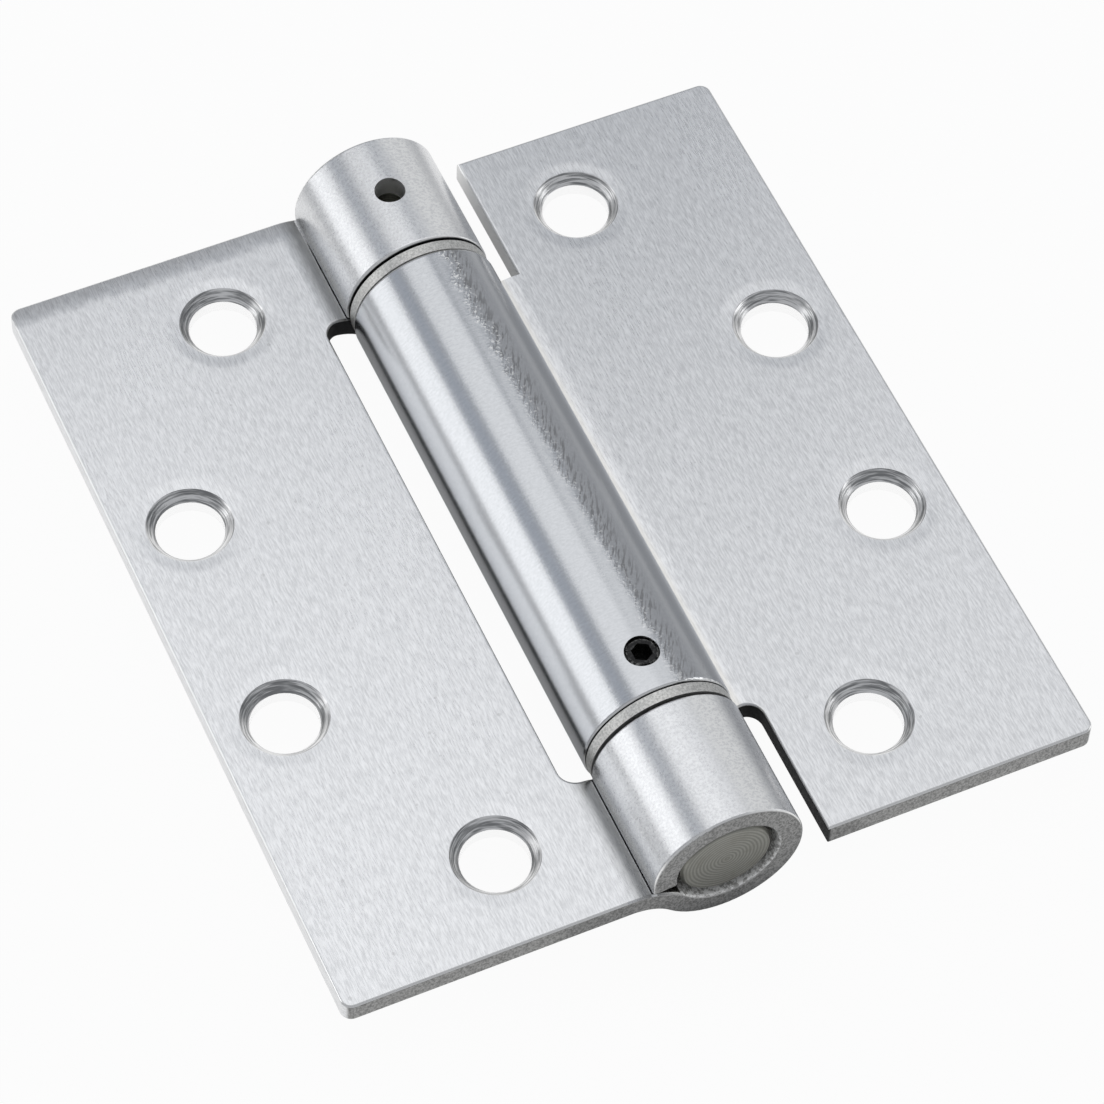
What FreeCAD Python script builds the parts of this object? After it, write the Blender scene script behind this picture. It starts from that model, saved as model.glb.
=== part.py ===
"""A full-mortise spring hinge, open flat: two folded leaves on one barrel, with a torsion spring inside.

Millimetres, +Z up. The hinge axis runs along Y over the origin, the frame leaf lies towards -X and the
door leaf towards +X, both with their countersunk faces up. Z = 0 is the lowest line of the barrel.
"""
import FreeCAD, Part
import math
import os
import re
import Sketcher

# Driving sizes in millimetres: alias, value, what it measures
SIZES = (
    ("leaf_length", 114.3, "length of both leaves along the hinge axis"),
    ("leaf_reach", 50.8, "hinge axis to the outer edge of a leaf"),
    ("leaf_corner", 1.5, "radius of a leaf's outer corners"),
    ("edge_round", 0.4, "radius on the upper outline of the sheet and on the outside of its curls' ends"),
    ("sheet_thickness", 3.2, "thickness of the folded sheet"),
    ("barrel_radius", 10.1, "outside radius of the curled knuckles"),
    ("axis_rise", 1.0, "hinge axis above the countersunk faces, half the gap of the closed leaves"),
    ("swage_radius", 7.0, "bend from the leaf's back down to the barrel"),
    ("seam_gap", 0.2, "gap between the curl's end and the leaf"),
    ("knuckle_length", 18.4, "length of each end knuckle of the frame leaf"),
    ("notch_margin", 0.7, "start of the bend to the edge of the notches"),
    ("notch_corner", 2.2, "radius of the notches' inner corners"),
    ("end_hole_inset", 25.3, "outer edge of a leaf to the screw holes near its ends"),
    ("end_hole_margin", 12.7, "end of a leaf to the screw hole near it"),
    ("mid_hole_inset", 9.3, "outer edge of a leaf to its two middle screw holes"),
    ("mid_hole_pitch", 31.75, "distance between the two middle screw holes"),
    ("screw_hole", 9.0, "diameter of a screw hole"),
    ("sink_diameter", 11.4, "diameter of a countersink at the face"),
    ("sink_angle", 82.0, "included angle of a countersink, degrees"),
    ("washer_thickness", 1.5, "thickness of a bearing washer"),
    ("washer_inset", 0.2, "washer's rim inside the barrel's outside"),
    ("washer_clearance", 0.3, "washer's bore round the turned plugs"),
    ("washer_seat", 0.2, "gap between a washer and the barrel's end"),
    ("washer_play", 0.45, "gap between a washer and the end knuckle"),
    ("running_fit", 0.05, "radial clearance of the turned plugs in the knuckles"),
    ("nose_step", 0.7, "radial step down to the nose of a turned plug"),
    ("nose_length", 2.0, "length of the nose of a turned plug"),
    ("plug_chamfer", 0.4, "chamfer on the ends of a turned plug"),
    ("plug_recess", 0.55, "face of a turned plug below the knuckle's end"),
    ("spindle_engagement", 8.0, "length of the tension spindle inside the barrel"),
    ("anchor_engagement", 12.7, "length of the anchor plug inside the barrel"),
    ("key_across", 4.0, "tension key's hexagon across flats"),
    ("key_depth", 8.0, "depth of the tension key's socket"),
    ("pin_hole", 4.1, "diameter of the tension pin's hole in the knuckle"),
    ("pin_margin", 8.95, "end of the hinge to the tension pin"),
    ("pin_clearance", 0.1, "spindle's pin holes over the knuckle's, in diameter"),
    ("pin_depth", 2.9, "depth of the spindle's pin holes"),
    ("pin_count", 6, "pin holes round the spindle"),
    ("screw_margin", 5.8, "end of the barrel to the anchor set screw"),
    ("screw_diameter", 4.4, "diameter of the anchor set screw"),
    ("screw_clearance", 0.05, "radial gap round the anchor set screw"),
    ("screw_sink", 0.25, "set screw's top below the barrel's outside"),
    ("screw_chamfer", 0.35, "chamfer on the set screw's ends"),
    ("screw_key", 2.4, "set screw's hexagon across flats"),
    ("screw_key_depth", 2.2, "depth of the set screw's socket"),
    ("cup_depth", 0.5, "depth of the set screw's cup point"),
    ("seat_depth", 1.4, "depth of the set screw's seat in the anchor plug"),
    ("seat_gap", 0.05, "gap under the set screw's point"),
    ("wire_diameter", 2.6, "diameter of the spring wire"),
    ("coil_clearance", 0.7, "coils inside the barrel's bore"),
    ("coil_gap", 0.3, "least gap between coils, and between a coil and a plug"),
    ("elbow_radius", 2.0, "bend from the last coil to the spring's tang"),
    ("tang_length", 5.0, "straight length of the spring's tangs"),
    ("tang_clearance", 0.2, "slot wider than the tang on each side"),
)
ALIASES = [alias for alias, _, _ in SIZES]

# Sizes that follow from the driving ones
HALF_LENGTH = "(leaf_length / 2)"
FACE_LEVEL = "(barrel_radius - axis_rise)"
BORE_RADIUS = "(barrel_radius - sheet_thickness)"
JOURNAL_RADIUS = f"({BORE_RADIUS} - running_fit)"
BEND_DROP = "(axis_rise + sheet_thickness + swage_radius)"
BEND_START = f"sqrt((barrel_radius + swage_radius) ^ 2 - {BEND_DROP} ^ 2)"
NOTCH_REACH = f"({BEND_START} + notch_margin)"
KNUCKLE_END = f"({HALF_LENGTH} - knuckle_length)"
WASHER_OUTER = f"({KNUCKLE_END} - washer_play)"
WASHER_INNER = f"({WASHER_OUTER} - washer_thickness)"
BARREL_END = f"({WASHER_INNER} - washer_seat)"
PLUG_FACE = f"({HALF_LENGTH} - plug_recess)"
SPINDLE_INNER = f"({BARREL_END} - spindle_engagement)"
ANCHOR_INNER = f"({BARREL_END} - anchor_engagement)"
COIL_RADIUS = f"({BORE_RADIUS} - coil_clearance - wire_diameter / 2)"
SEAT_FLOOR = f"({JOURNAL_RADIUS} - seat_depth)"
PIN_PLACE = f"({HALF_LENGTH} - pin_margin)"
SCREW_PLACE = f"({BARREL_END} - screw_margin)"
SCREW_HOLE = "(screw_diameter + 2 * screw_clearance)"
END_HOLES = ("(leaf_reach - end_hole_inset)", f"({HALF_LENGTH} - end_hole_margin)")
MID_HOLES = ("(leaf_reach - mid_hole_inset)", "(mid_hole_pitch / 2)")

doc = FreeCAD.newDocument("SpringHinge")
sheet = doc.addObject("Spreadsheet::Sheet", "Sizes")
for row, (alias, number, meaning) in enumerate(SIZES, start=1):
    sheet.set(f"A{row}", meaning)
    sheet.set(f"B{row}", str(number))
    sheet.setAlias(f"B{row}", alias)
doc.recompute()


def bound(expression):
    """The expression with each size named in full, as other objects have to name it."""
    return re.sub(rf"\b({'|'.join(ALIASES)})\b", r"Sizes.\1", expression)


def value(expression):
    """The expression's number at the sheet's present sizes."""
    return float(sheet.evalExpression(bound(expression)))


def new_body(label, turn=None):
    """An empty body; a turned piece has its own Z axis on the hinge axis, tipped about X by turn."""
    body = doc.addObject("PartDesign::Body", label)
    body.Label = label
    if turn is not None:
        tip = FreeCAD.Rotation(FreeCAD.Vector(1, 0, 0), turn)
        body.Placement = FreeCAD.Placement(FreeCAD.Vector(), tip)
        body.setExpression("Placement.Base.z", bound("barrel_radius"))
    return body


def new_sketch(body, name, role, level="0"):
    """A sketch on one of the body's origin planes, raised along the plane's normal by level."""
    sketch = body.newObject("Sketcher::SketchObject", f"{body.Name}_{name}")
    plane = next(item for item in body.Origin.OriginFeatures if item.Role == role)
    sketch.AttachmentSupport = [(plane, "")]
    sketch.MapMode = "FlatFace"
    sketch.setExpression(".AttachmentOffset.Base.z", bound(level))
    return sketch


def constrain(sketch, kind, *where, size=None):
    """Add a constraint, bound to an expression where it has a size."""
    if size is None:
        return sketch.addConstraint(Sketcher.Constraint(kind, *where))
    index = sketch.addConstraint(Sketcher.Constraint(kind, *where, value(size)))
    sketch.setExpression(f"Constraints[{index}]", bound(size))
    return index


def hold(sketch, geometry, end, kind, place):
    """Hold a point of the sketch at an expression along X or Y, measured from the sketch's origin."""
    number = value(place)
    if abs(number) < 1e-9:
        constrain(sketch, "PointOnObject", geometry, end, -2 if kind == "DistanceX" else -1)
    elif number > 0:
        constrain(sketch, kind, -1, 1, geometry, end, size=place)
    else:
        constrain(sketch, kind, geometry, end, -1, 1, size=f"-({place})")


def fix_point(sketch, geometry, end, x, y):
    """Hold a point of the sketch at two expressions."""
    hold(sketch, geometry, end, "DistanceX", x)
    hold(sketch, geometry, end, "DistanceY", y)


def add_polygon(sketch, corners):
    """A closed outline of straight lines through corners given as pairs of expressions."""
    points = [FreeCAD.Vector(value(x), value(y), 0) for x, y in corners]
    lines = [
        sketch.addGeometry(Part.LineSegment(start, end))
        for start, end in zip(points, points[1:] + points[:1])
    ]
    for line, following in zip(lines, lines[1:] + lines[:1]):
        constrain(sketch, "Coincident", line, 2, following, 1)
    for line, (x, y) in zip(lines, corners):
        fix_point(sketch, line, 1, x, y)


def add_rectangle(sketch, x_low, x_high, y_low, y_high, rounded=(), radius=None):
    """A rectangle between four expressions; rounded names the corners to round, 0 to 3 from the lowest."""
    corners = ((x_low, y_low), (x_high, y_low), (x_high, y_high), (x_low, y_high))
    points = [FreeCAD.Vector(value(x), value(y), 0) for x, y in corners]
    sides = []
    for index, (start, end) in enumerate(zip(points, points[1:] + points[:1])):
        along = (end - start).normalize()
        first = start + along * value(radius) if index in rounded else start
        last = end - along * value(radius) if (index + 1) % 4 in rounded else end
        sides.append(sketch.addGeometry(Part.LineSegment(first, last)))
    for index, side in enumerate(sides):
        lies_flat = index % 2 == 0
        constrain(sketch, "Horizontal" if lies_flat else "Vertical", side)
        x, y = corners[index]
        if lies_flat:
            hold(sketch, side, 1, "DistanceY", y)
        else:
            hold(sketch, side, 1, "DistanceX", x)
    for index, point in enumerate(points):
        before, after = sides[index - 1], sides[index]
        if index not in rounded:
            constrain(sketch, "Coincident", before, 2, after, 1)
            continue
        turn = math.radians(180 + 90 * index)
        inward = FreeCAD.Vector(-math.cos(turn) + math.sin(turn), -math.sin(turn) - math.cos(turn), 0)
        circle = Part.Circle(point + inward * value(radius), FreeCAD.Vector(0, 0, 1), value(radius))
        bend = sketch.addGeometry(Part.ArcOfCircle(circle, turn, turn + math.pi / 2))
        constrain(sketch, "Tangent", before, 2, bend, 1)
        constrain(sketch, "Tangent", bend, 2, after, 1)
        constrain(sketch, "Radius", bend, size=radius)


def add_circle(sketch, x, y, diameter):
    """A circle centred on two expressions."""
    centre = FreeCAD.Vector(value(x), value(y), 0)
    circle = sketch.addGeometry(Part.Circle(centre, FreeCAD.Vector(0, 0, 1), value(diameter) / 2))
    fix_point(sketch, circle, 3, x, y)
    constrain(sketch, "Diameter", circle, size=diameter)


def add_hexagon(sketch, across):
    """A regular hexagon round the sketch's origin, two flats square to its X axis."""
    side = f"({across}) / 2"
    tip = f"({across}) / sqrt(3)"
    half_tip = f"({across}) / (2 * sqrt(3))"
    add_polygon(sketch, (
        (side, f"-{half_tip}"), (side, half_tip), ("0", tip),
        (f"-{side}", half_tip), (f"-{side}", f"-{half_tip}"), ("0", f"-{tip}"),
    ))


def cut(body, name, sketch, depth=None, outward=False, both_ways=False):
    """Pocket the sketch: to a depth or through all, against its normal or along it."""
    doc.recompute()
    before = body.Shape.Volume
    pocket = body.newObject("PartDesign::Pocket", f"{body.Name}_{name}")
    pocket.Profile = sketch
    pocket.Reversed = outward
    pocket.Midplane = both_ways
    if depth is None:
        pocket.Type = "ThroughAll"
    else:
        pocket.setExpression("Length", bound(depth))
    doc.recompute()
    if not body.Shape.Volume < before:
        raise RuntimeError(f"{pocket.Name} removes nothing")
    return pocket


def revolve(body, name, sketch):
    """Turn the sketch once round the body's Z axis."""
    turned = body.newObject("PartDesign::Revolution", f"{body.Name}_{name}")
    turned.Profile = sketch
    turned.ReferenceAxis = (sketch, ["V_Axis"])
    turned.Angle = 360
    return turned


def round_corners(body):
    """Round the two outer corners of a leaf, at its upright edges."""
    doc.recompute()
    base = body.Tip
    outer_edge = -value("leaf_reach")
    half_length = value(HALF_LENGTH)

    def at_corner(point):
        return abs(point.x - outer_edge) < 1e-4 and abs(abs(point.y) - half_length) < 1e-4

    def stands_at_corner(edge):
        upright = edge.BoundBox.ZLength > edge.BoundBox.YLength
        return upright and all(at_corner(vertex.Point) for vertex in edge.Vertexes)

    edges = enumerate(base.Shape.Edges, start=1)
    uprights = [f"Edge{index}" for index, edge in edges if stands_at_corner(edge)]
    fillet = body.newObject("PartDesign::Fillet", f"{body.Name}_Corners")
    fillet.Base = (base, uprights)
    fillet.setExpression("Radius", bound("leaf_corner"))


def round_edges(body):
    """Round the sheet's upper outline and the outside of its curls' ends, with all that runs on smoothly."""
    doc.recompute()
    base = body.Tip
    middle_level = value(f"{FACE_LEVEL} - sheet_thickness / 2")
    outline_places = (-value("leaf_reach"), -value(NOTCH_REACH))

    def on_upper_outline(edge):
        box = edge.BoundBox
        runs_along_axis = box.XLength < 1e-4 and box.ZLength < 1e-4
        on_outline = any(abs(box.XMin - place) < 1e-4 for place in outline_places)
        return runs_along_axis and on_outline and box.ZMin > middle_level

    def goes_round_curl(edge):
        lies_across_axis = edge.BoundBox.YLength < 1e-4
        is_arc = isinstance(edge.Curve, Part.Circle)
        return lies_across_axis and is_arc and abs(edge.Curve.Radius - value("barrel_radius")) < 1e-4

    edges = enumerate(base.Shape.Edges, start=1)
    picked = [f"Edge{index}" for index, edge in edges if on_upper_outline(edge) or goes_round_curl(edge)]
    fillet = body.newObject("PartDesign::Fillet", f"{body.Name}_Edges")
    fillet.Base = (base, picked)
    fillet.setExpression("Radius", bound("edge_round"))


def fold_sheet(body):
    """The folded sheet, full length: flat leaf at -X, bend down to the barrel, curl round the axis."""
    radius = value("barrel_radius")
    bore = value(BORE_RADIUS)
    swage = value("swage_radius")
    thickness = value("sheet_thickness")
    reach = value("leaf_reach")
    face = value(FACE_LEVEL)
    back = face - thickness
    axis = FreeCAD.Vector(0, radius, 0)
    spread = radius + swage
    drop = value(BEND_DROP)
    bend = FreeCAD.Vector(-value(BEND_START), back - swage, 0)
    lean = math.asin(drop / spread)
    rest = swage + thickness + value("seam_gap")
    closing = math.acos((spread ** 2 + radius ** 2 - rest ** 2) / (2 * spread * radius))
    start_angle = math.pi + lean
    end_angle = 3 * math.pi + lean - closing

    def arc(centre, size, first, last):
        circle = Part.Circle(centre, FreeCAD.Vector(0, 0, 1), size)
        return Part.ArcOfCircle(circle, first, last)

    def around(size):
        return axis + FreeCAD.Vector(size * math.cos(end_angle), size * math.sin(end_angle), 0)

    sketch = new_sketch(body, "Fold", "XZ_Plane")
    outer_face = FreeCAD.Vector(-reach, face, 0)
    outer_back = FreeCAD.Vector(-reach, back, 0)
    top_line = sketch.addGeometry(Part.LineSegment(outer_face, FreeCAD.Vector(bend.x, face, 0)))
    top_bend = sketch.addGeometry(arc(bend, swage + thickness, lean, math.pi / 2))
    inside = sketch.addGeometry(arc(axis, bore, start_angle, end_angle))
    tip = sketch.addGeometry(Part.LineSegment(around(bore), around(radius)))
    outside = sketch.addGeometry(arc(axis, radius, start_angle, end_angle))
    back_bend = sketch.addGeometry(arc(bend, swage, lean, math.pi / 2))
    back_line = sketch.addGeometry(Part.LineSegment(FreeCAD.Vector(bend.x, back, 0), outer_back))
    edge = sketch.addGeometry(Part.LineSegment(outer_back, outer_face))

    constrain(sketch, "Tangent", top_line, 2, top_bend, 2)
    constrain(sketch, "Tangent", top_bend, 1, inside, 1)
    constrain(sketch, "Coincident", inside, 2, tip, 1)
    constrain(sketch, "Coincident", tip, 2, outside, 2)
    constrain(sketch, "Tangent", outside, 1, back_bend, 1)
    constrain(sketch, "Tangent", back_bend, 2, back_line, 1)
    constrain(sketch, "Coincident", back_line, 2, edge, 1)
    constrain(sketch, "Coincident", edge, 2, top_line, 1)
    constrain(sketch, "Coincident", inside, 3, outside, 3)
    constrain(sketch, "Coincident", top_bend, 3, back_bend, 3)
    constrain(sketch, "Horizontal", top_line)
    constrain(sketch, "Horizontal", back_line)
    constrain(sketch, "Vertical", edge)
    constrain(sketch, "PointOnObject", inside, 3, tip)
    fix_point(sketch, inside, 3, "0", "barrel_radius")
    constrain(sketch, "Radius", outside, size="barrel_radius")
    constrain(sketch, "Radius", inside, size=BORE_RADIUS)
    constrain(sketch, "Radius", back_bend, size="swage_radius")
    fix_point(sketch, top_line, 1, "-leaf_reach", FACE_LEVEL)
    constrain(sketch, "Distance", tip, 2, top_bend, 3, size="swage_radius + sheet_thickness + seam_gap")

    pad = body.newObject("PartDesign::Pad", f"{body.Name}_Sheet")
    pad.Profile = sketch
    pad.Midplane = True
    pad.setExpression("Length", bound("leaf_length"))


def notch(body, name, spans):
    """Cut the sheet away from the notch's edge past the barrel; a span along Y names its rounded corners."""
    past_barrel = "barrel_radius + sheet_thickness"
    sketch = new_sketch(body, name, "XY_Plane")
    for low, high, rounded in spans:
        add_rectangle(sketch, f"-{NOTCH_REACH}", past_barrel, low, high, rounded, "notch_corner")
    cut(body, name, sketch, both_ways=True)


def screw_holes(body):
    """The four countersunk screw holes of a leaf."""
    sketch = new_sketch(body, "HoleCentres", "XY_Plane", FACE_LEVEL)
    for reach, place in (END_HOLES, MID_HOLES):
        for side in ("", "-"):
            add_circle(sketch, f"-{reach}", f"{side}{place}", "screw_hole")
    doc.recompute()
    hole = body.newObject("PartDesign::Hole", f"{body.Name}_ScrewHoles")
    hole.Profile = sketch
    doc.recompute()
    hole.ThreadType = "None"
    hole.DepthType = "ThroughAll"
    hole.HoleCutType = "Countersink"
    hole.setExpression("Diameter", bound("screw_hole"))
    hole.setExpression("HoleCutDiameter", bound("sink_diameter"))
    hole.setExpression("HoleCutCountersinkAngle", bound("sink_angle"))


def wall_hole(body, name, place, diameter):
    """A hole straight up through the top wall of the curl."""
    sketch = new_sketch(body, name, "XY_Plane", "barrel_radius")
    add_circle(sketch, "0", place, diameter)
    cut(body, name, sketch, outward=True)


def frame_leaf():
    """Leaf with the two end knuckles; the tension pin's hole is in the top of the +Y one."""
    body = new_body("frame_leaf")
    fold_sheet(body)
    notch(body, "BarrelNotch", ((f"-{KNUCKLE_END}", KNUCKLE_END, (0, 3)),))
    round_corners(body)
    round_edges(body)
    screw_holes(body)
    wall_hole(body, "PinHole", PIN_PLACE, "pin_hole")
    return body


def door_leaf():
    """Leaf with the long barrel, made like the frame leaf and turned half round to +X."""
    body = new_body("door_leaf")
    past_end = f"({HALF_LENGTH} + sheet_thickness)"
    fold_sheet(body)
    notch(body, "EndNotches", ((BARREL_END, past_end, (0,)), (f"-{past_end}", f"-{BARREL_END}", ())))
    round_corners(body)
    round_edges(body)
    screw_holes(body)
    wall_hole(body, "SetScrewHole", SCREW_PLACE, SCREW_HOLE)
    body.Placement = FreeCAD.Placement(FreeCAD.Vector(), FreeCAD.Rotation(FreeCAD.Vector(0, 0, 1), 180))
    return body


def turned_plug(body, inner):
    """A turned plug with a stepped nose at the hinge's end and a slot for the spring's tang inside."""
    nose = f"({JOURNAL_RADIUS} - nose_step)"
    shoulder = f"({PLUG_FACE} - nose_length)"
    sketch = new_sketch(body, "HalfSection", "XZ_Plane")
    add_polygon(sketch, (
        ("0", inner),
        (f"{JOURNAL_RADIUS} - plug_chamfer", inner),
        (JOURNAL_RADIUS, f"{inner} + plug_chamfer"),
        (JOURNAL_RADIUS, shoulder),
        (nose, shoulder),
        (nose, f"{PLUG_FACE} - plug_chamfer"),
        (f"{nose} - plug_chamfer", PLUG_FACE),
        ("0", PLUG_FACE),
    ))
    revolve(body, "Turned", sketch)
    half_slot = "(wire_diameter / 2 + tang_clearance)"
    slot = new_sketch(body, "TangSlot", "XY_Plane", inner)
    add_rectangle(
        slot, f"{COIL_RADIUS} - {half_slot}", "barrel_radius",
        f"elbow_radius - {half_slot}", f"elbow_radius + {half_slot}",
    )
    cut(body, "TangSlot", slot, depth="elbow_radius + tang_length", outward=True)


def tension_spindle():
    """Adjusting plug of the +Y knuckle: a key socket in its face and a ring of holes for the tension pin."""
    body = new_body("tension_spindle", -90)
    turned_plug(body, SPINDLE_INNER)
    socket = new_sketch(body, "KeySocket", "XY_Plane", PLUG_FACE)
    add_hexagon(socket, "key_across")
    cut(body, "KeySocket", socket, depth="key_depth")
    pin = new_sketch(body, "PinHole", "XZ_Plane", f"{JOURNAL_RADIUS} - pin_depth")
    add_circle(pin, "0", PIN_PLACE, "pin_hole + pin_clearance")
    first = cut(body, "PinHole", pin, outward=True)
    ring = body.newObject("PartDesign::PolarPattern", f"{body.Name}_PinRing")
    ring.Originals = [first]
    ring.Axis = (next(item for item in body.Origin.OriginFeatures if item.Role == "Z_Axis"), [""])
    ring.Angle = 360
    ring.setExpression("Occurrences", bound("pin_count"))
    body.Tip = ring
    return body


def anchor_plug():
    """Pivot plug of the -Y knuckle, held in the barrel by the set screw."""
    body = new_body("anchor_plug", 90)
    turned_plug(body, ANCHOR_INNER)
    seat = new_sketch(body, "ScrewSeat", "XZ_Plane", f"-{SEAT_FLOOR}")
    add_circle(seat, "0", SCREW_PLACE, SCREW_HOLE)
    cut(body, "ScrewSeat", seat)
    return body


def anchor_set_screw():
    """Headless socket screw through the barrel's wall into the anchor plug, with a cup point."""
    body = new_body("anchor_set_screw", 0)
    body.setExpression("Placement.Base.y", bound(f"-{SCREW_PLACE}"))
    radius = "screw_diameter / 2"
    shank = f"({radius} - screw_chamfer)"
    point = f"({SEAT_FLOOR} + seat_gap)"
    top = "(barrel_radius - screw_sink)"
    sketch = new_sketch(body, "HalfSection", "XZ_Plane")
    add_polygon(sketch, (
        ("0", f"{point} + cup_depth"),
        (f"{shank} - cup_depth", point),
        (shank, point),
        (radius, f"{point} + screw_chamfer"),
        (radius, f"{top} - screw_chamfer"),
        (shank, top),
        ("0", top),
    ))
    revolve(body, "Turned", sketch)
    socket = new_sketch(body, "Socket", "XY_Plane", top)
    add_hexagon(socket, "screw_key")
    cut(body, "Socket", socket, depth="screw_key_depth")
    return body


def bearing_washer(label, turn):
    """Flat ring between an end knuckle and the barrel."""
    body = new_body(label, turn)
    inside = f"({JOURNAL_RADIUS} + washer_clearance)"
    outside = "(barrel_radius - washer_inset)"
    sketch = new_sketch(body, "HalfSection", "XZ_Plane")
    add_rectangle(sketch, inside, outside, WASHER_INNER, WASHER_OUTER)
    revolve(body, "Turned", sketch)
    return body


def torsion_spring():
    """Round wire: a tang along the axis, an elbow, the coils, and the same again at the far end."""
    wire = value("wire_diameter")
    coil = value(COIL_RADIUS)
    elbow = value("elbow_radius")
    margin = wire / 2 + value("coil_gap")
    low = margin - value(ANCHOR_INNER)
    high = value(SPINDLE_INNER) - margin
    turns = math.floor((high - low) / (wire + value("coil_gap")))
    pitch = (high - low) / turns
    slope = math.atan(pitch / (2 * math.pi * coil))

    def end(level, way):
        """Points of an end's elbow and tang, from the coil outwards; way is -1 below and 1 above."""
        def at(turn):
            across = elbow * (math.cos(turn) - math.sin(slope))
            along = elbow * (math.cos(slope) - math.sin(turn))
            return FreeCAD.Vector(coil, way * across, level + way * along)
        tip = at(0) + FreeCAD.Vector(0, 0, way * value("tang_length"))
        bend = math.pi / 2 - slope
        return at(bend), at(bend / 2), at(0), tip

    helix = Part.makeHelix(pitch, high - low, coil)
    helix.translate(FreeCAD.Vector(0, 0, low))
    start, start_mid, start_foot, start_tip = end(low, -1)
    finish, finish_mid, finish_foot, finish_tip = end(high, 1)
    path = Part.Wire(
        [Part.makeLine(start_tip, start_foot), Part.Arc(start_foot, start_mid, start).toShape()]
        + helix.Edges
        + [Part.Arc(finish, finish_mid, finish_foot).toShape(), Part.makeLine(finish_foot, finish_tip)]
    )
    section = Part.Wire(Part.makeCircle(wire / 2, start_tip, FreeCAD.Vector(0, 0, 1)))
    spring = doc.addObject("Part::Feature", "torsion_spring")
    spring.Label = "torsion_spring"
    spring.Shape = path.makePipeShell([section], True, True)
    spring.Placement = FreeCAD.Placement(
        FreeCAD.Vector(0, 0, value("barrel_radius")), FreeCAD.Rotation(FreeCAD.Vector(1, 0, 0), -90)
    )
    expected = math.pi * wire ** 2 / 4 * path.Length
    if abs(spring.Shape.Volume / expected - 1) > 0.01:
        raise RuntimeError("the spring's volume is not its section times its length")
    return spring


pieces = [
    frame_leaf(),
    door_leaf(),
    bearing_washer("upper_bearing_washer", -90),
    bearing_washer("lower_bearing_washer", 90),
    tension_spindle(),
    torsion_spring(),
    anchor_plug(),
    anchor_set_screw(),
]
doc.recompute()

for item in doc.Objects:
    if "Invalid" in item.State or "Error" in item.State:
        raise RuntimeError(f"{item.Name} failed: {item.State}")
for piece in pieces:
    if not piece.Shape.isValid() or len(piece.Shape.Solids) != 1:
        raise RuntimeError(f"{piece.Label} isn't one valid solid")

os.makedirs("parts", exist_ok=True)
for piece in pieces:
    piece.Shape.exportStep(f"parts/{piece.Label}.step")
    box = piece.Shape.optimalBoundingBox(False)
    print(f"{piece.Label}: {len(piece.Shape.Solids)} solid, {piece.Shape.Volume / 1000:.2f} cm3")
    print(f"  X {box.XMin:.2f} {box.XMax:.2f}  Y {box.YMin:.2f} {box.YMax:.2f}", end="")
    print(f"  Z {box.ZMin:.2f} {box.ZMax:.2f}")
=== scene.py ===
"""The looks of a spring loaded door hinge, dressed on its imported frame. Metres, in the frame's own axes."""
import math
from types import SimpleNamespace
import bpy
from mathutils import Matrix, Vector


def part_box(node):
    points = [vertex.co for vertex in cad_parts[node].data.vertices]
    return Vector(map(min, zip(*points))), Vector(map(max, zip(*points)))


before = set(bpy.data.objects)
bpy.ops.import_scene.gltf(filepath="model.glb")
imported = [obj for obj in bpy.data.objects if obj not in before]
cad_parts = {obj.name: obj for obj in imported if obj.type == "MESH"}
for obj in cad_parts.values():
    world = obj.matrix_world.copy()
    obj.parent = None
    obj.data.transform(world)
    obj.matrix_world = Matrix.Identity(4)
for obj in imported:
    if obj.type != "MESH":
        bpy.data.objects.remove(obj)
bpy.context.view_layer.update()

MM = 0.001

# Sizes read from the frame, in millimetres, because the finishes are written in millimetres
LEAF_LOW, LEAF_HIGH = (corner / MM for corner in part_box("frame_leaf"))
LEAF_REACH = -LEAF_LOW.x
HALF_LENGTH = LEAF_HIGH.y
BARREL_RADIUS = LEAF_HIGH.z / 2
AXIS_HEIGHT = BARREL_RADIUS

# Sizes of the folded sheet and the set screw that their finishes follow, in millimetres
EDGE_ROUND = 0.4
CURL_WALL = 3.2
NOTCH_REACH = 13.6
KNUCKLE_END = 38.75
BARREL_END = 36.6
HOLE_PLACES = ((25.5, 44.45), (41.5, 15.875))
SINK_RADIUS = 5.7
PIN_PLACE = 48.2
PIN_HOLE_RADIUS = 2.05
SET_SCREW_PLACE = -30.8
SET_SCREW_RADIUS = 2.2

# Shallow forms and marks of the finishes, in millimetres
DIP_DEPTH = 0.09
DIP_WIDTH = 2.0
ROLL_DEPTH = 0.4
ROLL_WIDTH = 3.6
ROLL_RAGGED = 1.2
# How far from the axis the door leaf's strip of painted light reaches
LIGHT_STRIP_REACH = 12.0
RING_PITCH = 0.48
STROKE_SLANT = math.radians(29)

# Colours of the finishes and of painted light and shade: a pair is the dark and the light end of a grain
PLATE_TONES = (0.61, 0.83)
PLATE_TINT = (0.0, 0.007, 0.018)
DOOR_LEAF_SHADE = 0.03
TUMBLED = ((0.63, 0.637, 0.648), (0.78, 0.787, 0.797))
DRAWN = ((0.555, 0.568, 0.585), (0.61, 0.622, 0.64))
TURNED_SINK = ((0.28, 0.285, 0.29), (0.88, 0.88, 0.88))
CUT_EDGE = ((0.17, 0.17, 0.168), (0.38, 0.38, 0.375))
CHIPPED_BORE = ((0.42, 0.415, 0.40), (0.97, 0.97, 0.95))
TURNED_PLUG = ((0.14, 0.14, 0.125), (0.31, 0.31, 0.28))
STAMPED_WASHER = ((0.50, 0.50, 0.48), (0.78, 0.775, 0.75))
TEMPERED_WIRE = ((0.05, 0.045, 0.04), (0.16, 0.14, 0.12))
OXIDE = ((0.012, 0.012, 0.013), (0.06, 0.06, 0.06))
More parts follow.
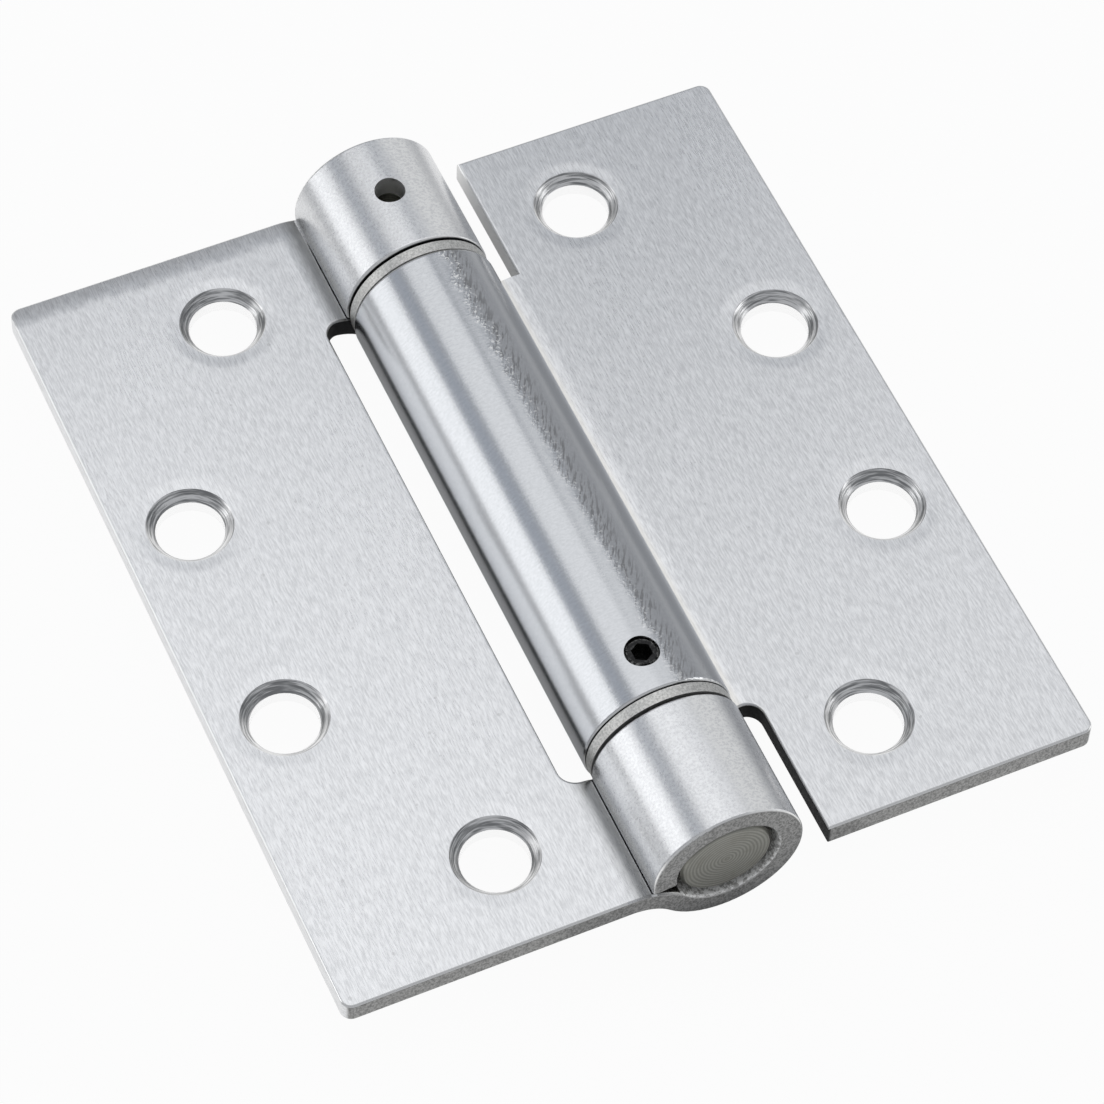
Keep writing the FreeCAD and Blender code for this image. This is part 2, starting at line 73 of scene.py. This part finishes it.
# Near-black painted shade for the leaves' notch walls
PAINTED_NOTCH_SHADE = (0.03, 0.03, 0.031)
# Pale burnish for worn rims, the pin hole and washer sides; also painted light on the door leaf's far notch
# walls
BURNISH_AND_PAINTED_LIGHT = (0.90, 0.90, 0.89)
FROST = (0.99, 0.99, 0.975)
RUBBED = (0.22, 0.22, 0.22)
FLECK = (0.98, 0.98, 0.97)
SCRATCHED = (0.86, 0.87, 0.88)
SPECKLED = (0.42, 0.42, 0.42)
BRIGHT_LAND = (0.97, 0.97, 0.97)
BEND_SHADE = (0.20, 0.20, 0.19)
# Pale warm painted light for the door leaf's strip along the barrel
PAINTED_STRIP_LIGHT = (0.80, 0.77, 0.70)
STAINED = (0.18, 0.175, 0.15)
WORN_RIM = (0.34, 0.34, 0.33)

# Camera: where it looks, from where, and how far it leans
AIM = Vector((-0.0010, -0.0067, 0.0101))
CAMERA_DISTANCE = 0.6098
CAMERA_AZIMUTH = math.radians(-26.5)
CAMERA_ELEVATION = math.radians(55.18)
CAMERA_ROLL = math.radians(2.82)
CAMERA_LENS = 156.34
CAMERA_NEAR = 0.01

# The studio, in metres and in radiance
FLOOR_SIDE = 6.0
FLOOR_COLOUR = (0.74, 0.74, 0.74)
FLOOR_GLOW_SEEN = 0.95
DIM_FLOOR_GLOW = 0.1
OPEN_FLOOR_GLOW = 0.95
CEILING_LEVEL = 0.60
HINGE_MIDDLE = (0.0, 0.0, 0.01)
WHITE = (1.0, 1.0, 1.0)
SKY_BLUE = (0.3, 0.6, 1.0)
WINDOW_BLUE = (0.35, 0.6, 1.0)
ROOM_GLOW = 0.45
ROOM_TINT = (0.97, 0.99, 1.03)

# Edges of the mirrored floor's dim strip, in barrel radii, and of its glow, in halves of the hinge
DIM_STRIP = (1.75, 2.2)
GLOWING_PART = (1.8, 1.3)


class Field:
    """A shader value that takes part in sums, products and powers; each operation adds its Math node."""

    def __init__(self, finish, socket):
        self.finish = finish
        self.socket = socket

    def __add__(self, other):
        return self.finish.math("ADD", self, other)

    def __radd__(self, other):
        return self.finish.math("ADD", other, self)

    def __sub__(self, other):
        return self.finish.math("SUBTRACT", self, other)

    def __rsub__(self, other):
        return self.finish.math("SUBTRACT", other, self)

    def __mul__(self, other):
        return self.finish.math("MULTIPLY", self, other)

    def __rmul__(self, other):
        return self.finish.math("MULTIPLY", other, self)

    def __truediv__(self, other):
        return self.finish.math("DIVIDE", self, other)

    def __pow__(self, other):
        return self.finish.math("POWER", self, other)

    def __abs__(self):
        return self.finish.math("ABSOLUTE", self)

    def least(self, other):
        return self.finish.math("MINIMUM", self, other)

    def most(self, other):
        return self.finish.math("MAXIMUM", self, other)

    def ramp(self, low, high):
        """0 at low, 1 at high, smooth between and level past them; low may be the larger."""
        inputs = {"Value": self, "From Min": low, "From Max": high}
        return self.finish.node("ShaderNodeMapRange", {"interpolation_type": "SMOOTHSTEP"}, inputs)


class Finish:
    """A procedural material on the piece's own coordinates, with one principled shader."""

    def __init__(self, name):
        self.material = bpy.data.materials.new(name)
        self.material.use_nodes = True
        self.tree = self.material.node_tree
        self.shader = self.tree.nodes["Principled BSDF"]
        coordinates = self.node("ShaderNodeTexCoord", output="Object")
        self.place = self.vector("SCALE", coordinates, scale=1 / MM)
        self.x, self.y, self.z = self.parts(self.place)

    def node(self, kind, settings=None, inputs=None, output=0):
        """Add a node, set it up, fill its sockets with numbers or fields, and give one of its outputs."""
        made = self.tree.nodes.new(kind)
        for name, setting in (settings or {}).items():
            setattr(made, name, setting)
        for name, given in (inputs or {}).items():
            self.feed(made.inputs[name], given)
        return Field(self, made.outputs[output])

    def feed(self, socket, given):
        """Link a field to a socket, or set the socket to a number or colour."""
        if isinstance(given, Field):
            self.tree.links.new(given.socket, socket)
        else:
            socket.default_value = given

    def math(self, operation, *values):
        return self.node("ShaderNodeMath", {"operation": operation}, dict(enumerate(values)))

    def vector(self, operation, *values, scale=None):
        inputs = dict(enumerate(values))
        if scale is not None:
            inputs["Scale"] = scale
        return self.node("ShaderNodeVectorMath", {"operation": operation}, inputs)

    def parts(self, vector):
        """The three numbers of a vector."""
        split = self.node("ShaderNodeSeparateXYZ", None, {0: vector}).socket.node
        return [Field(self, socket) for socket in split.outputs]

    def join(self, x, y, z):
        return self.node("ShaderNodeCombineXYZ", None, {0: x, 1: y, 2: z})

    def colour(self, factor, first, second):
        """Mix two colours."""
        inputs = {0: factor, 6: opaque(first), 7: opaque(second)}
        return self.node("ShaderNodeMix", {"data_type": "RGBA"}, inputs, output=2)

    def noise(self, vector, scale=1.0, detail=2.0, roughness=0.5):
        """Noise from 0 to 1, most of it near the middle; scale is in waves to the millimetre."""
        inputs = {"Vector": vector, "Scale": scale, "Detail": detail, "Roughness": roughness}
        return self.node("ShaderNodeTexNoise", None, inputs)

    def stretched(self, across_x, across_y, across_z):
        """The piece's coordinates with a different number of waves to the millimetre each way."""
        return self.vector("MULTIPLY", self.place, (across_x, across_y, across_z))

    def normal_parts(self):
        """The surface's own normal on the piece."""
        return self.parts(self.node("ShaderNodeTexCoord", output="Normal"))

    def length(self, x, y):
        """How far the point x, y is from the origin."""
        return (x * x + y * y) ** 0.5

    def from_axis(self):
        """Distance from the hinge axis, in millimetres."""
        return self.length(self.x, self.z - AXIS_HEIGHT)

    def round_axis(self):
        """The way round the barrel's skin from its top line, in millimetres."""
        return BARREL_RADIUS * self.math("ARCTAN2", self.x, self.z - AXIS_HEIGHT)

    def bump(self, height):
        """Raise the surface by a height in millimetres."""
        return self.node("ShaderNodeBump", None, {"Height": height, "Distance": MM, "Strength": 1.0})

    def set(self, **sockets):
        """Feed the shader's sockets; a word with _ names the socket with a space."""
        for name, given in sockets.items():
            title = name.replace("_", " ").title()
            self.feed(self.shader.inputs[title], opaque(given))


def opaque(colour):
    """A colour written as three numbers, with its alpha; anything else as it is."""
    if isinstance(colour, tuple) and len(colour) == 3:
        return (*colour, 1.0)
    return colour


def leaf_zones(steel):
    """Shares of the folded sheet's zones, by place and by the way its surface faces."""
    across, lengthwise, upward = steel.normal_parts()
    normal_x, normal_y, normal_z = abs(across), abs(lengthwise), abs(upward)
    reach, along = abs(steel.x), abs(steel.y)
    from_axis = steel.from_axis()
    end_cut = normal_y.ramp(0.75, 0.95)
    in_curl = reach.ramp(BARREL_RADIUS + 0.25, BARREL_RADIUS + 0.05)
    outside = BARREL_RADIUS - EDGE_ROUND
    inside = BARREL_RADIUS - CURL_WALL
    skin = from_axis.ramp(outside - 0.1, outside) * in_curl * (1 - end_cut)
    bore = from_axis.ramp(inside + 0.3, inside + 0.2) * (1 - end_cut)
    inland = reach.ramp(NOTCH_REACH + 1.0, NOTCH_REACH + 1.4)
    inland = inland * reach.ramp(LEAF_REACH - 1.6, LEAF_REACH - 1.8)
    inland = inland * along.ramp(HALF_LENGTH - 1.6, HALF_LENGTH - 1.8)
    sink = normal_z.ramp(0.97, 0.93) * inland
    land = normal_z.ramp(0.35, 0.2) * inland
    mill_edge = normal_x.ramp(0.5, 0.8) * reach.ramp(LEAF_REACH - 1.0, LEAF_REACH - 0.6)
    sheared = normal_z.ramp(0.45, 0.25) * (1 - skin) * (1 - bore) * (1 - inland) * (1 - mill_edge)
    leaf_rim = normal_z.ramp(0.99, 0.94) * normal_z.ramp(0.3, 0.5) * (1 - inland)
    leaf_rim = leaf_rim * reach.ramp(NOTCH_REACH - 0.3, NOTCH_REACH)
    curl_rim = from_axis.ramp(outside, outside + 0.15)
    curl_rim = curl_rim * from_axis.ramp(BARREL_RADIUS - 0.02, BARREL_RADIUS - 0.08)
    rim = leaf_rim + curl_rim * in_curl * (1 - end_cut) * normal_y.ramp(0.15, 0.4)
    face = (1 - skin) * (1 - bore) * (1 - sink) * (1 - sheared) * (1 - mill_edge)
    front = face * upward.ramp(0.0, 0.5)
    return SimpleNamespace(
        skin=skin, bore=bore, sink=sink, land=land, sheared=sheared, rim=rim, face=face, front=front
    )


def hole_dip(steel):
    """How far a leaf's face dips round its countersinks, in millimetres."""
    reach, along = abs(steel.x), abs(steel.y)
    first, second = (steel.length(reach - x, along - y) for x, y in HOLE_PLACES)
    return DIP_DEPTH * first.least(second).ramp(SINK_RADIUS + DIP_WIDTH, SINK_RADIUS - 0.4)


def far_roll(steel):
    """How far the frame leaf's face rolls off at its far end, in millimetres; the roll's edge is ragged."""
    ragged = steel.noise(steel.stretched(0.5, 0.25, 0.5), 1.0, 3.0)
    past_start = steel.y - (HALF_LENGTH - ROLL_WIDTH) - ROLL_RAGGED * (ragged - 0.5)
    rolled = past_start.most(0.0) / ROLL_WIDTH
    return ROLL_DEPTH * rolled * rolled


def tumbled_curl(steel):
    """Colour, metal, roughness and height of the end knuckles: a tumbled skin, frosted towards the door."""
    around = steel.round_axis()
    grain = steel.noise(steel.place, 3.0, 3.0, 0.7)
    flakes = steel.noise(steel.stretched(2.2, 3.2, 2.2), 1.0, 2.0, 0.7)
    patch = around.ramp(0.8, 3.4) * around.ramp(8.0, 5.2)
    frosted = patch * (0.55 + 0.45 * flakes.ramp(0.44, 0.52))
    colour = steel.colour(grain.ramp(0.35, 0.65), *TUMBLED)
    colour = steel.colour(frosted, colour, FROST)
    height = 0.012 * grain + 0.08 * patch * flakes
    return colour, 1 - 0.8 * frosted, 0.25 + 0.06 * grain + 0.2 * patch, height


def drawn_curl(steel):
    """Colour, metal, roughness and height of the long barrel.

    It is drawn smooth, with fine lines, and has a band of slanting rubbed strokes and bright flecks.
    """
    around = steel.round_axis()
    streak = steel.noise(steel.join(1.0 * around, 4.2 * steel.y, 0.0), 1.0, 3.0, 0.65)
    grain = steel.noise(steel.place, 3.2, 3.0, 0.7)
    across = math.cos(STROKE_SLANT) * around - math.sin(STROKE_SLANT) * steel.y
    along = math.sin(STROKE_SLANT) * around + math.cos(STROKE_SLANT) * steel.y
    strokes = steel.noise(steel.join(2.6 * across, 0.4 * along, 0.0), 1.0, 2.0, 0.6)
    wander = 3.0 * (steel.noise(steel.join(0.0, 0.25 * steel.y, 0.0), 1.0, 1.0) - 0.5)
    from_line = around + wander
    band = from_line.ramp(1.6, 2.8) * from_line.ramp(6.2, 3.8)
    flecks = steel.noise(steel.place, 2.4, 2.0, 0.7)
    flecked = from_line.ramp(1.2, 2.2) * from_line.ramp(4.4, 2.8) * (0.5 + 0.5 * steel.y.ramp(0.0, 30.0))
    bright = flecked * flecks.ramp(0.55, 0.63)
    colour = steel.colour((0.5 * streak + 0.5 * grain).ramp(0.38, 0.62), *DRAWN)
    colour = steel.colour(0.6 * band * strokes.ramp(0.52, 0.40), colour, RUBBED)
    colour = steel.colour(bright, colour, FLECK)
    height = 0.008 * streak + 0.006 * grain + 0.04 * band * strokes + 0.05 * flecked * flecks
    return colour, 1 - 0.7 * bright, 0.18 + 0.06 * grain, height


def leaf_steel(steel, zones, shade, curl):
    """Colour, metal, roughness and height of plated sheet.

    The shade darkens its faces, and curl is the finish of its knuckles' skin.
    """
    curl_colour, curl_metal, curl_roughness, curl_height = curl
    brushed = steel.noise(steel.stretched(4.6, 0.6, 4.6), 1.0, 3.0, 0.7)
    scratch = steel.noise(steel.stretched(2.8, 0.06, 2.8), 1.0, 2.0)
    cloud = steel.noise(steel.stretched(0.06, 0.03, 0.06), 1.0, 2.0)
    speck = steel.noise(steel.place, 1.1, 0.0).ramp(0.81, 0.86)
    turning = steel.noise(steel.join(0.05 * steel.x, 0.05 * steel.y, steel.z), 4.5, 2.0, 0.7)
    crystals = steel.noise(steel.stretched(3.4, 3.4, 2.6), 1.0, 3.0, 0.75)
    chips = steel.noise(steel.place, 1.6, 3.0, 0.7)

    dark, light = (tuple(tone + tint - shade for tint in PLATE_TINT) for tone in PLATE_TONES)
    colour = steel.colour(brushed.ramp(0.3, 0.7), dark, light)
    colour = steel.colour(0.3 * scratch.ramp(0.6, 0.75), colour, SCRATCHED)
    colour = steel.colour(0.35 * speck * zones.face, colour, SPECKLED)
    turned = steel.colour(turning.ramp(0.38, 0.62), *TURNED_SINK)
    cut = steel.colour(crystals.ramp(0.35, 0.65), *CUT_EDGE)
    chipped = steel.colour(chips.ramp(0.40, 0.58), *CHIPPED_BORE)
    colour = steel.colour(zones.skin, colour, curl_colour)
    colour = steel.colour(zones.sink, colour, turned)
    colour = steel.colour(zones.land, colour, BRIGHT_LAND)
    colour = steel.colour(zones.sheared, colour, cut)
    colour = steel.colour(zones.bore, colour, chipped)
    colour = steel.colour(0.8 * zones.rim, colour, BURNISH_AND_PAINTED_LIGHT)

    face_roughness = 0.23 + 0.05 * cloud + 0.06 * brushed
    roughness = face_roughness + zones.skin * (curl_roughness - face_roughness)
    roughness = roughness - 0.1 * zones.land + 0.2 * zones.sheared + 0.3 * zones.bore
    height = 0.005 * zones.face * brushed - zones.front * hole_dip(steel) + zones.skin * curl_height
    height = height + 0.03 * zones.sink * turning + 0.03 * zones.sheared * crystals
    metal = 1 - zones.skin * (1 - curl_metal) - 0.75 * zones.bore
    return colour, metal, roughness, height


def frame_leaf_steel(name):
    """Frame leaf: painted shade darkens it where it bends down to the seam and blackens its notch walls; it
    is rolled off at its far end.
    """
    steel = Finish(name)
    zones = leaf_zones(steel)
    colour, metal, roughness, height = leaf_steel(steel, zones, 0.0, tumbled_curl(steel))
    bend = zones.face * abs(steel.x).ramp(NOTCH_REACH, BARREL_RADIUS)
    painted_notch_wall = zones.sheared * abs(steel.y).ramp(KNUCKLE_END + 0.6, KNUCKLE_END + 0.2)
    from_pin = steel.length(steel.x, steel.y - PIN_PLACE)
    in_pin_hole = zones.sheared * from_pin.ramp(PIN_HOLE_RADIUS + 0.65, PIN_HOLE_RADIUS + 0.35)
    colour = steel.colour(0.75 * bend, colour, BEND_SHADE)
    # Painted shade: the notch walls are coloured near black
    colour = steel.colour(painted_notch_wall, colour, PAINTED_NOTCH_SHADE)
    colour = steel.colour(in_pin_hole, colour, BURNISH_AND_PAINTED_LIGHT)
    height = height - zones.front * far_roll(steel)
    steel.set(base_color=colour, metallic=metal, roughness=roughness, normal=steel.bump(height))
    return steel.material


def door_leaf_steel(name):
    """Door leaf: a shade darker than the frame leaf, with a strip of painted light along the barrel.

    Painted shade blackens its near notch and painted light brightens its far one.
    """
    steel = Finish(name)
    zones = leaf_zones(steel)
    colour, metal, roughness, height = leaf_steel(steel, zones, DOOR_LEAF_SHADE, drawn_curl(steel))
    # Painted light: the face is lighter and warmer in a strip along the barrel
    painted_light_strip = zones.face * steel.x.ramp(BARREL_RADIUS - 0.2, BARREL_RADIUS)
    painted_light_strip = painted_light_strip * steel.x.ramp(LIGHT_STRIP_REACH, LIGHT_STRIP_REACH - 1.0)
    colour = steel.colour(0.5 * painted_light_strip, colour, PAINTED_STRIP_LIGHT)
    painted_notch_wall = zones.sheared * abs(steel.x).ramp(NOTCH_REACH + 0.5, NOTCH_REACH + 0.2)
    # Painted shade blackens the near notch walls; painted light brightens the far ones
    colour = steel.colour(painted_notch_wall * steel.y.ramp(0.0, -BARREL_END), colour, PAINTED_NOTCH_SHADE)
    colour = steel.colour(painted_notch_wall * steel.y.ramp(0.0, BARREL_END), colour, BURNISH_AND_PAINTED_LIGHT)
    steel.set(base_color=colour, metallic=metal, roughness=roughness, normal=steel.bump(height))
    return steel.material


def turned_steel(name):
    """Turned plug: even rings round the axis on the face, lines round the shank."""
    steel = Finish(name)
    stain = steel.noise(steel.place, 0.35, 3.0)
    turns = steel.from_axis() * (math.tau / RING_PITCH)
    rings = 0.5 + 0.5 * steel.math("SINE", turns + 2.0 * stain)
    lines = steel.noise(steel.join(0.0, steel.y, 0.0), 4.0, 2.0, 0.6)
    grain = steel.noise(steel.place, 3.0, 2.0, 0.7)
    colour = steel.colour(0.6 * rings + 0.4 * grain, *TURNED_PLUG)
    colour = steel.colour(0.6 * stain.ramp(0.5, 0.75), colour, STAINED)
    height = 0.014 * rings + 0.008 * lines + 0.010 * grain
    steel.set(base_color=colour, metallic=1.0, roughness=0.30 + 0.1 * stain, normal=steel.bump(height))
    return steel.material


def washer_steel(name):
    """Stamped washer: a faintly warm grey with a fine grain and bright flat sides."""
    steel = Finish(name)
    _, normal_y, _ = steel.normal_parts()
    grain = steel.noise(steel.place, 3.4, 3.0, 0.7)
    colour = steel.colour(grain.ramp(0.35, 0.65), *STAMPED_WASHER)
    colour = steel.colour(abs(normal_y).ramp(0.2, 0.6), colour, BURNISH_AND_PAINTED_LIGHT)
    roughness = 0.42 + 0.1 * grain
    steel.set(base_color=colour, metallic=0.9, roughness=roughness, normal=steel.bump(0.01 * grain))
    return steel.material


def spring_wire(name):
    """Oil tempered wire: dark, with a mottled scale."""
    wire = Finish(name)
    scale = wire.noise(wire.place, 1.2, 4.0, 0.65)
    colour = wire.colour(scale.ramp(0.35, 0.7), *TEMPERED_WIRE)
    wire.set(base_color=colour, metallic=1.0, roughness=0.3 + 0.2 * scale, normal=wire.bump(0.01 * scale))
    return wire.material


def black_oxide(name):
    """Blackened screw with an oily shine, worn bright in spots on its rim."""
    oxide = Finish(name)
    wear = oxide.noise(oxide.place, 2.5, 3.0, 0.6)
    from_middle = oxide.length(oxide.x, oxide.y - SET_SCREW_PLACE)
    rim = from_middle.ramp(SET_SCREW_RADIUS - 0.5, SET_SCREW_RADIUS - 0.2)
    colour = oxide.colour(wear.ramp(0.45, 0.75), *OXIDE)
    colour = oxide.colour(rim * wear.ramp(0.45, 0.65), colour, WORN_RIM)
    roughness = 0.2 + 0.15 * wear
    oxide.set(base_color=colour, metallic=0.7, roughness=roughness, normal=oxide.bump(0.006 * wear))
    return oxide.material


def paint_nodes():
    """Give each node of the frame its finish."""
    finishes = {
        frame_leaf_steel: ("frame_leaf",),
        door_leaf_steel: ("door_leaf",),
        turned_steel: ("anchor_plug", "tension_spindle"),
        washer_steel: ("upper_bearing_washer", "lower_bearing_washer"),
        spring_wire: ("torsion_spring",),
        black_oxide: ("anchor_set_screw",),
    }
    for make, names in finishes.items():
        material = make(make.__name__)
        for name in names:
            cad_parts[name].material_slots[0].material = material


def floor_white(name):
    """White floor that glows for the eye and in what mirrors it.

    What mirrors it sees the glow round the leaves, but hardly under the barrel.
    The rest of it takes light and shadow.
    """
    floor = Finish(name)
    floor.set(base_color=FLOOR_COLOUR, roughness=1.0)
    floor.feed(floor.shader.inputs["Specular IOR Level"], 0.0)
    rays = ("Camera", "Glossy", "Transmission")
    seen, glossy, through = (floor.node("ShaderNodeLightPath", output=f"Is {ray} Ray") for ray in rays)
    strip_start, strip_end = (factor * BARREL_RADIUS for factor in DIM_STRIP)
    beside_barrel = abs(floor.x).ramp(strip_start, strip_end)
    past_ends = abs(floor.y).ramp(HALF_LENGTH, HALF_LENGTH + BARREL_RADIUS)
    far, near = GLOWING_PART
    near_by = abs(floor.x).ramp(far * LEAF_REACH, near * LEAF_REACH)
    near_by = near_by * abs(floor.y).ramp(far * HALF_LENGTH, near * HALF_LENGTH)
    mirrored = DIM_FLOOR_GLOW + (OPEN_FLOOR_GLOW - DIM_FLOOR_GLOW) * beside_barrel.most(past_ends) * near_by
    glow = FLOOR_GLOW_SEEN * seen + mirrored * glossy.most(through)
    matt = Field(floor, floor.shader.outputs[0])
    light = floor.node("ShaderNodeEmission")
    surface = floor.node("ShaderNodeMixShader", None, {0: glow, 1: matt, 2: light})
    floor.feed(floor.tree.nodes["Material Output"].inputs["Surface"], surface)
    return floor.material


def lay_floor():
    """The white floor under the barrel."""
    bpy.ops.object.select_all(action="DESELECT")
    bpy.ops.mesh.primitive_plane_add(size=FLOOR_SIDE, location=(0, 0, 0))
    floor = bpy.context.object
    floor.name = "studio_floor"
    floor.data.materials.append(floor_white("studio_floor"))


def hang_softbox(name, place, aim, width, height, glow, colour=WHITE):
    """A rectangular lamp at place that faces aim; glow is the radiance of its face."""
    lamp = bpy.data.lights.new(name, "AREA")
    lamp.color = colour
    lamp.shape = "RECTANGLE"
    lamp.size = width
    lamp.size_y = height
    lamp.energy = math.pi * width * height * glow
    holder = bpy.data.objects.new(name, lamp)
    bpy.context.scene.collection.objects.link(holder)
    holder.location = place
    holder.rotation_euler = (Vector(aim) - Vector(place)).to_track_quat("-Z", "Y").to_euler()
    holder.visible_camera = False


def hang_ceiling(name, x_low, x_high, y_low, y_high, glow, colour=WHITE):
    """A softbox at the ceiling's level that faces straight down, between four sides."""
    middle = Vector(((x_low + x_high) / 2, (y_low + y_high) / 2, CEILING_LEVEL))
    below = Vector((middle.x, middle.y, 0))
    hang_softbox(name, middle, below, x_high - x_low, y_high - y_low, glow, colour)


def light_studio():
    """Softboxes side by side overhead, low ones left and right, bluish light from afar and a dim room."""
    hang_ceiling("left_ceiling", -0.25, 0.185, -0.10, 0.53, 0.69)
    hang_ceiling("right_ceiling", 0.185, 0.65, -0.10, 0.365, 0.57)
    hang_ceiling("corner_ceiling", 0.28, 0.47, 0.365, 0.50, 0.57)
    hang_ceiling("far_sky", 0.08, 0.65, 0.40, 0.78, 0.05, SKY_BLUE)
    hang_softbox("left_softbox", (-0.70, 0.44, 0.33), (0.0, 0.44, 0.33), 0.54, 0.58, 1.05)
    hang_softbox("right_softbox", (0.95, -0.26, 0.15), HINGE_MIDDLE, 0.5, 0.32, 1.3)
    hang_softbox("window", (-0.46, 0.46, 0.62), HINGE_MIDDLE, 0.25, 0.25, 0.12, WINDOW_BLUE)
    world = bpy.data.worlds.new("studio_room")
    world.use_nodes = True
    background = world.node_tree.nodes["Background"]
    background.inputs["Color"].default_value = opaque(ROOM_TINT)
    background.inputs["Strength"].default_value = ROOM_GLOW
    bpy.context.scene.world = world


def place_camera():
    """The camera at the photograph's angle."""
    away = Vector((
        math.sin(CAMERA_AZIMUTH) * math.cos(CAMERA_ELEVATION),
        -math.cos(CAMERA_AZIMUTH) * math.cos(CAMERA_ELEVATION),
        math.sin(CAMERA_ELEVATION),
    ))
    camera = bpy.data.objects.new("camera", bpy.data.cameras.new("camera"))
    bpy.context.scene.collection.objects.link(camera)
    look = (-away).to_track_quat("-Z", "Y").to_matrix().to_4x4()
    roll = Matrix.Rotation(CAMERA_ROLL, 4, "Z")
    camera.matrix_world = Matrix.Translation(AIM + away * CAMERA_DISTANCE) @ look @ roll
    camera.data.lens = CAMERA_LENS
    camera.data.clip_start = CAMERA_NEAR
    bpy.context.scene.camera = camera


def main():
    bpy.context.scene.view_settings.view_transform = "Standard"
    paint_nodes()
    lay_floor()
    light_studio()
    place_camera()


main()
